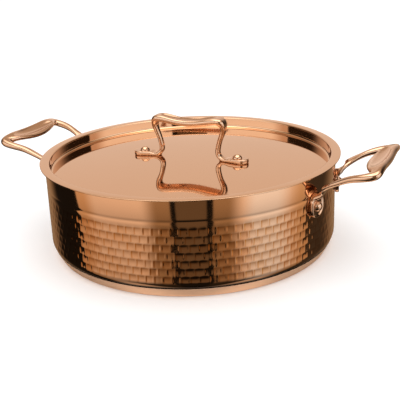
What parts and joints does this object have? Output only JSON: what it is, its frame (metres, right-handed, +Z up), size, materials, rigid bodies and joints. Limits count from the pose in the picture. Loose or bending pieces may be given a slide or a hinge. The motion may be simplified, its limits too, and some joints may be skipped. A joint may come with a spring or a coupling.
{
  "type": "lidded braiser",
  "caption": "Shallow hammered-copper braiser with loop side handles and an inset domed lid with a strap handle",
  "frame": {"origin": "middle of the base on the surface that it stands on", "axes": "+X towards the right-hand loop handle, +Y from front to back across the pot, +Z up along the pot's axis"},
  "size_m": [0.3966, 0.295, 0.1279],
  "materials": {
    "hammered_copper": "polished rose copper, hammered in staggered rows on the wall",
    "polished_copper": "mirror-polished rose copper",
    "handle_copper": "polished copper-plated casting, faintly softer than the lid",
    "liner_steel": "circular-brushed stainless cooking surface",
    "core_aluminium": "plain rolled aluminium disc, sealed in the base"
  },
  "bodies": {
    "pot": {"pot_shell": "hammered_copper", "inner_liner": "liner_steel", "base_core": "core_aluminium", "base_cap": "polished_copper", "right_handle": "handle_copper", "left_handle": "handle_copper", "right_handle_back_rivet": "handle_copper", "right_handle_front_rivet": "handle_copper", "left_handle_back_rivet": "handle_copper", "left_handle_front_rivet": "handle_copper"},
    "lid": {"lid_pan": "polished_copper", "lid_handle": "handle_copper", "lid_right_rivet": "handle_copper", "lid_left_rivet": "handle_copper"}
  },
  "joints": [
    {"name": "lid_lift", "type": "slide", "parent": "pot", "child": "lid", "axis": [0, 0, 1], "range_m": [0, 0.15]}
  ]
}
